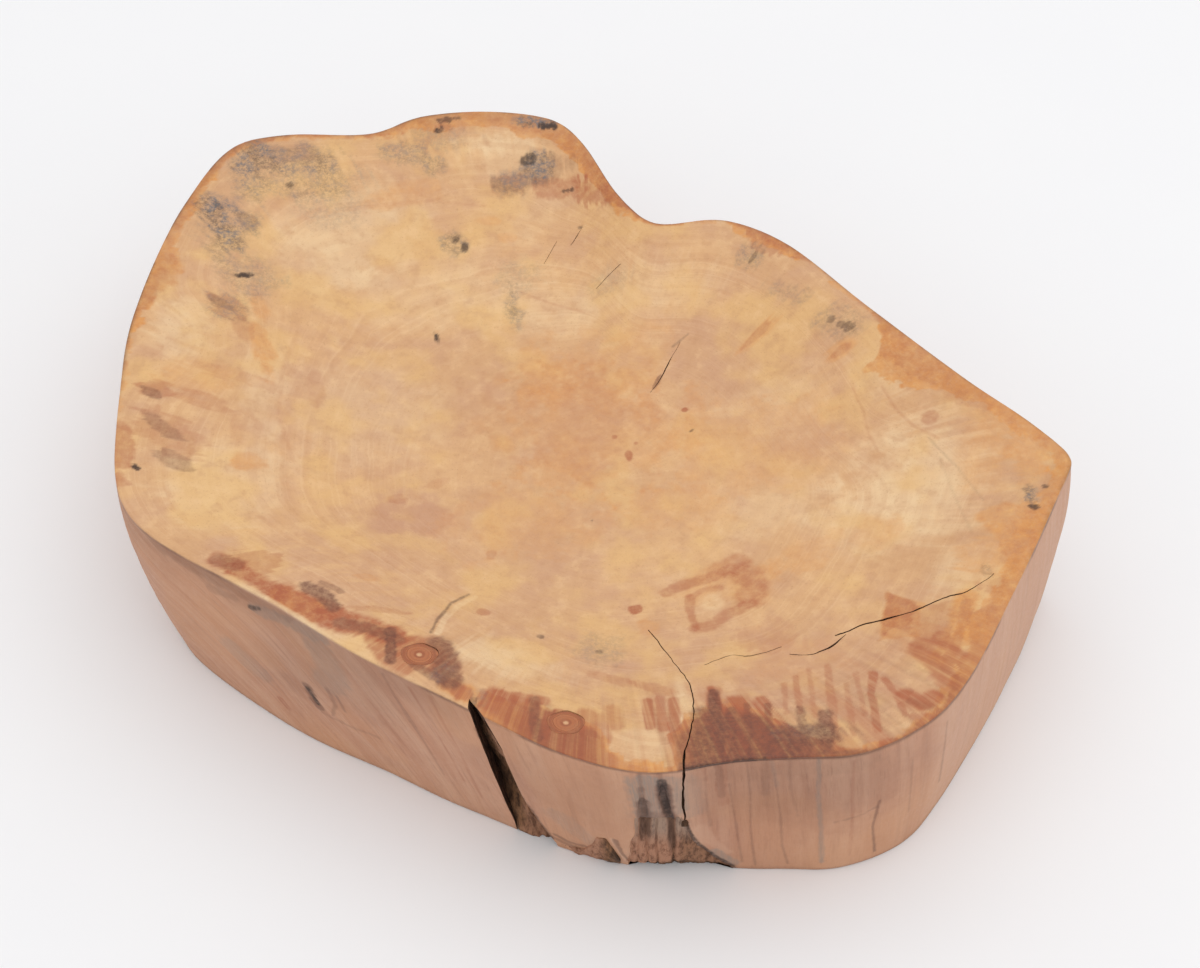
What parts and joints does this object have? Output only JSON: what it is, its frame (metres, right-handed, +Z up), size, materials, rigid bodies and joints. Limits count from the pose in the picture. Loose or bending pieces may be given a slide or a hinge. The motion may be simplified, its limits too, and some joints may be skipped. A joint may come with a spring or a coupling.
{
  "type": "carved wooden bowl",
  "caption": "Shallow live-edge dish bowl carved from an end-grain trunk slab, with ingrown bark, a split seam and knots in its rim.",
  "frame": {"origin": "middle of the flat foot, on the plane that it rests on", "axes": "+X towards the sharp corner of the rim, along the longest side; +Y towards the notched side; +Z up, out of the basin"},
  "size_m": [0.3009, 0.2861, 0.064],
  "materials": {
    "bowl_wood": "bare worn end grain in the basin, patchy old amber varnish on the rim, dusty pink-brown side grain on the wall",
    "bark": "rough, dry and dark, with fine ribs",
    "knot_wood": "dense reddish wood with tight rings, thin worn varnish"
  },
  "bodies": {
    "root": {"bowl_body": "bowl_wood", "fissure_bark": "bark", "pocket_bark": "bark", "edge_bark_flake": "bark", "seam_bark": "bark", "rim_knot": "knot_wood", "left_knot": "knot_wood"}
  },
  "joints": []
}
